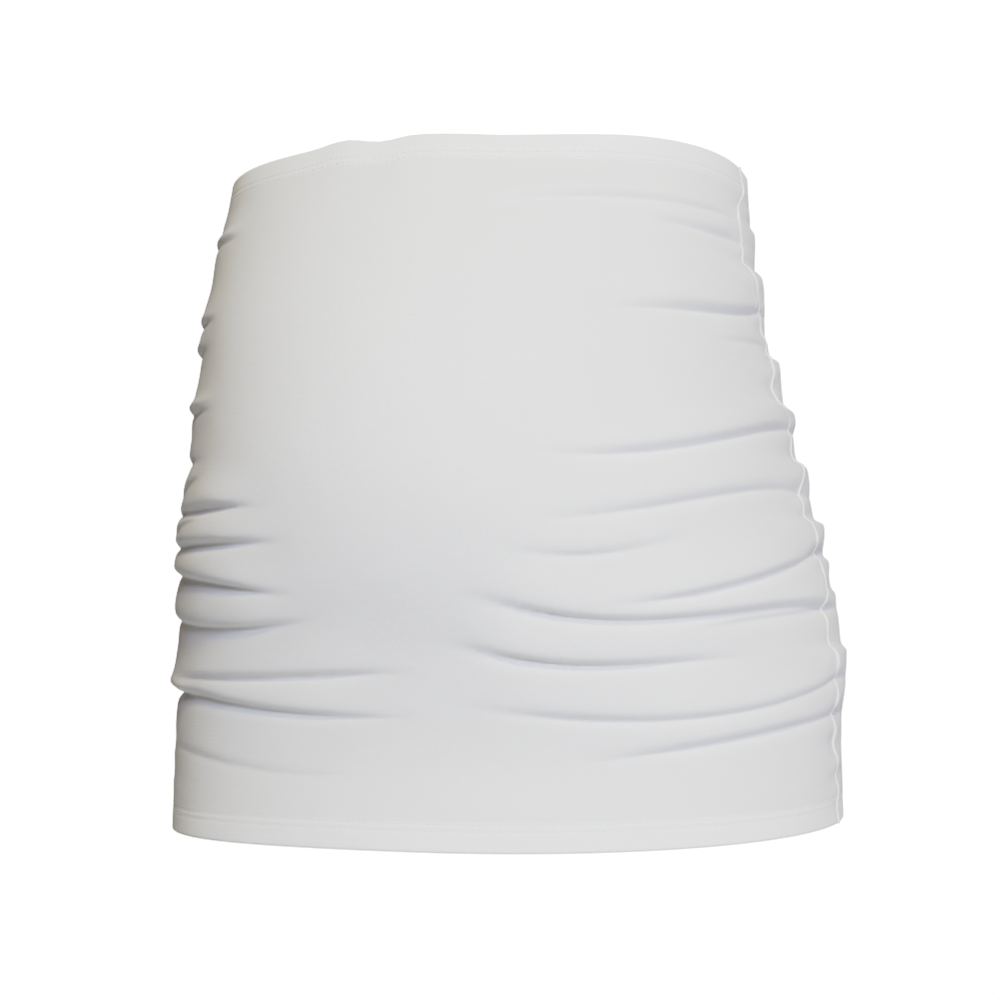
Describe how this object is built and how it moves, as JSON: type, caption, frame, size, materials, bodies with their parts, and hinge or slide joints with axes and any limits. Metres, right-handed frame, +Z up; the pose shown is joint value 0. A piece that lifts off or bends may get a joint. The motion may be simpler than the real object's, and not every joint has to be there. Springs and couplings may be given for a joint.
{
  "type": "maternity support belt",
  "caption": "Pull-on tube of white cotton jersey worn round a pregnant belly, ruched at both side seams, with a folded and stitched hem at each rim.",
  "frame": {"origin": "on the upright line through the middle of the torso, level with the lower rim at the wearer's left side", "axes": "+Z up, the wearer's front towards -Y, the wearer's left towards +X"},
  "size_m": [0.3669, 0.3205, 0.35],
  "materials": {
    "jersey": "soft matt single jersey knit, white",
    "hem": "the same jersey folded double and stitched with a twin needle",
    "seam": "overlocked seam edge, white thread"
  },
  "bodies": {
    "root": {"front_panel": "jersey", "back_panel": "jersey", "top_hem_front": "hem", "top_hem_back": "hem", "bottom_hem_front": "hem", "bottom_hem_back": "hem", "left_side_seam": "seam", "right_side_seam": "seam"}
  },
  "joints": []
}
